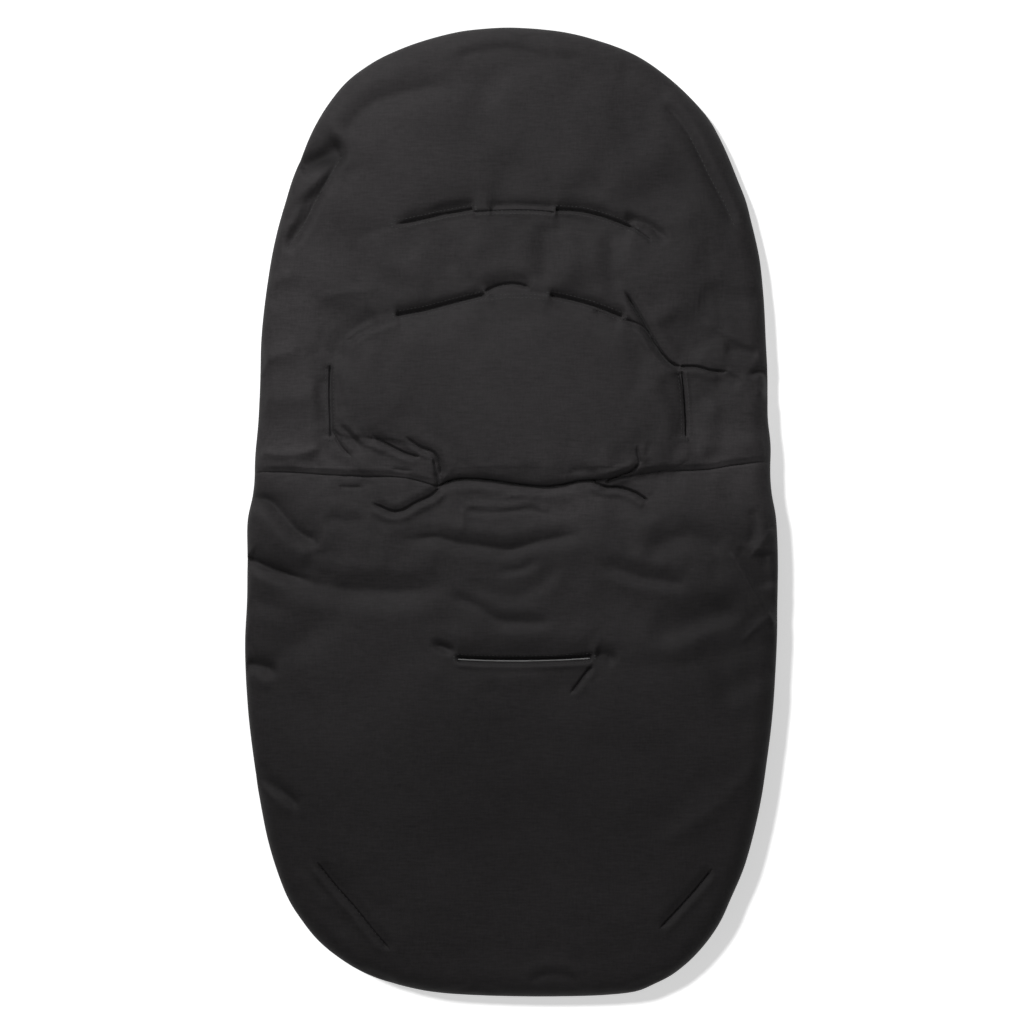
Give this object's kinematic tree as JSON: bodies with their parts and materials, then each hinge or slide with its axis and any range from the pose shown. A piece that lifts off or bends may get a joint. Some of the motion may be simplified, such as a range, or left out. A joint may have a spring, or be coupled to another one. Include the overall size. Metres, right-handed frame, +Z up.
{
  "type": "car seat footmuff",
  "caption": "Padded oval footmuff for an infant car seat, lying face down, with harness slots in its creased back, a zipped front cover and a fleece lining.",
  "frame": {"origin": "on the surface that the footmuff lies on, below the middle of its outline", "axes": "+Y to the head end, +Z up through the back's outer face, which faces up as the muff lies face down, +X to the right as seen from above"},
  "size_m": [0.438, 0.8, 0.056],
  "materials": {
    "shell_fabric": "black plain-weave polyester, matt, with a faint slub",
    "fleece_lining": "light grey short-pile fleece",
    "wadding": "white polyester wadding, hidden inside",
    "binding_tape": "light grey woven edge of the harness slots",
    "zip_tape": "black woven zip tape",
    "zip_teeth": "black moulded teeth, satin",
    "zip_metal": "dark gunmetal, satin"
  },
  "bodies": {
    "front_cover": {"front_shell": "shell_fabric", "front_wadding": "wadding", "front_lining": "fleece_lining", "front_mouth_binding": "shell_fabric", "foot_gusset": "shell_fabric", "zip_tape_front_left": "zip_tape", "zip_tape_front_right": "zip_tape", "zip_teeth_front_left": "zip_teeth", "zip_teeth_front_right": "zip_teeth", "zip_top_stop_front_left": "zip_metal", "zip_top_stop_front_right": "zip_metal", "zip_end_stop_left": "zip_metal", "zip_end_stop_right": "zip_metal"},
    "lower_back": {"lower_back_shell": "shell_fabric", "lower_back_wadding": "wadding", "lower_back_lining": "fleece_lining", "crotch_slot_binding": "binding_tape", "zip_tape_back_left": "zip_tape", "zip_tape_back_right": "zip_tape", "zip_teeth_back_left": "zip_teeth", "zip_teeth_back_right": "zip_teeth", "zip_top_stop_back_left": "zip_metal", "zip_top_stop_back_right": "zip_metal"},
    "upper_back": {"upper_back_shell": "shell_fabric", "upper_back_wadding": "wadding", "upper_back_lining": "fleece_lining", "shoulder_slot_binding_top_left": "binding_tape", "shoulder_slot_binding_top_right": "binding_tape", "shoulder_slot_binding_low_left": "binding_tape", "shoulder_slot_binding_low_right": "binding_tape", "lap_slot_binding_left": "binding_tape", "lap_slot_binding_right": "binding_tape"},
    "slider_left": {"zip_slider_left": "zip_metal"},
    "slider_right": {"zip_slider_right": "zip_metal"},
    "pull_left": {"zip_pull_left": "zip_metal"},
    "pull_right": {"zip_pull_right": "zip_metal"}
  },
  "joints": [
    {"name": "back_open", "type": "hinge", "parent": "front_cover", "child": "lower_back", "pos_m": [0, -0.401, 0.025], "axis": [1, 0, 0], "range_deg": [0, 150]},
    {"name": "back_fold", "type": "hinge", "parent": "lower_back", "child": "upper_back", "pos_m": [0, 0.037, 0.056], "axis": [-1, 0, 0], "range_deg": [-140, 50]},
    {"name": "slider_left_travel", "type": "slide", "parent": "front_cover", "child": "slider_left", "axis": [0, -1, 0], "range_m": [0, 0.195]},
    {"name": "slider_right_travel", "type": "slide", "parent": "front_cover", "child": "slider_right", "axis": [0, -1, 0], "range_m": [0, 0.195]},
    {"name": "pull_left_swing", "type": "hinge", "parent": "slider_left", "child": "pull_left", "pos_m": [-0.2084, 0.0075, 0.0256], "axis": [0, 0, -1], "range_deg": [0, 170]},
    {"name": "pull_right_swing", "type": "hinge", "parent": "slider_right", "child": "pull_right", "pos_m": [0.2084, 0.0075, 0.0256], "axis": [0, 0, 1], "range_deg": [0, 170]}
  ]
}
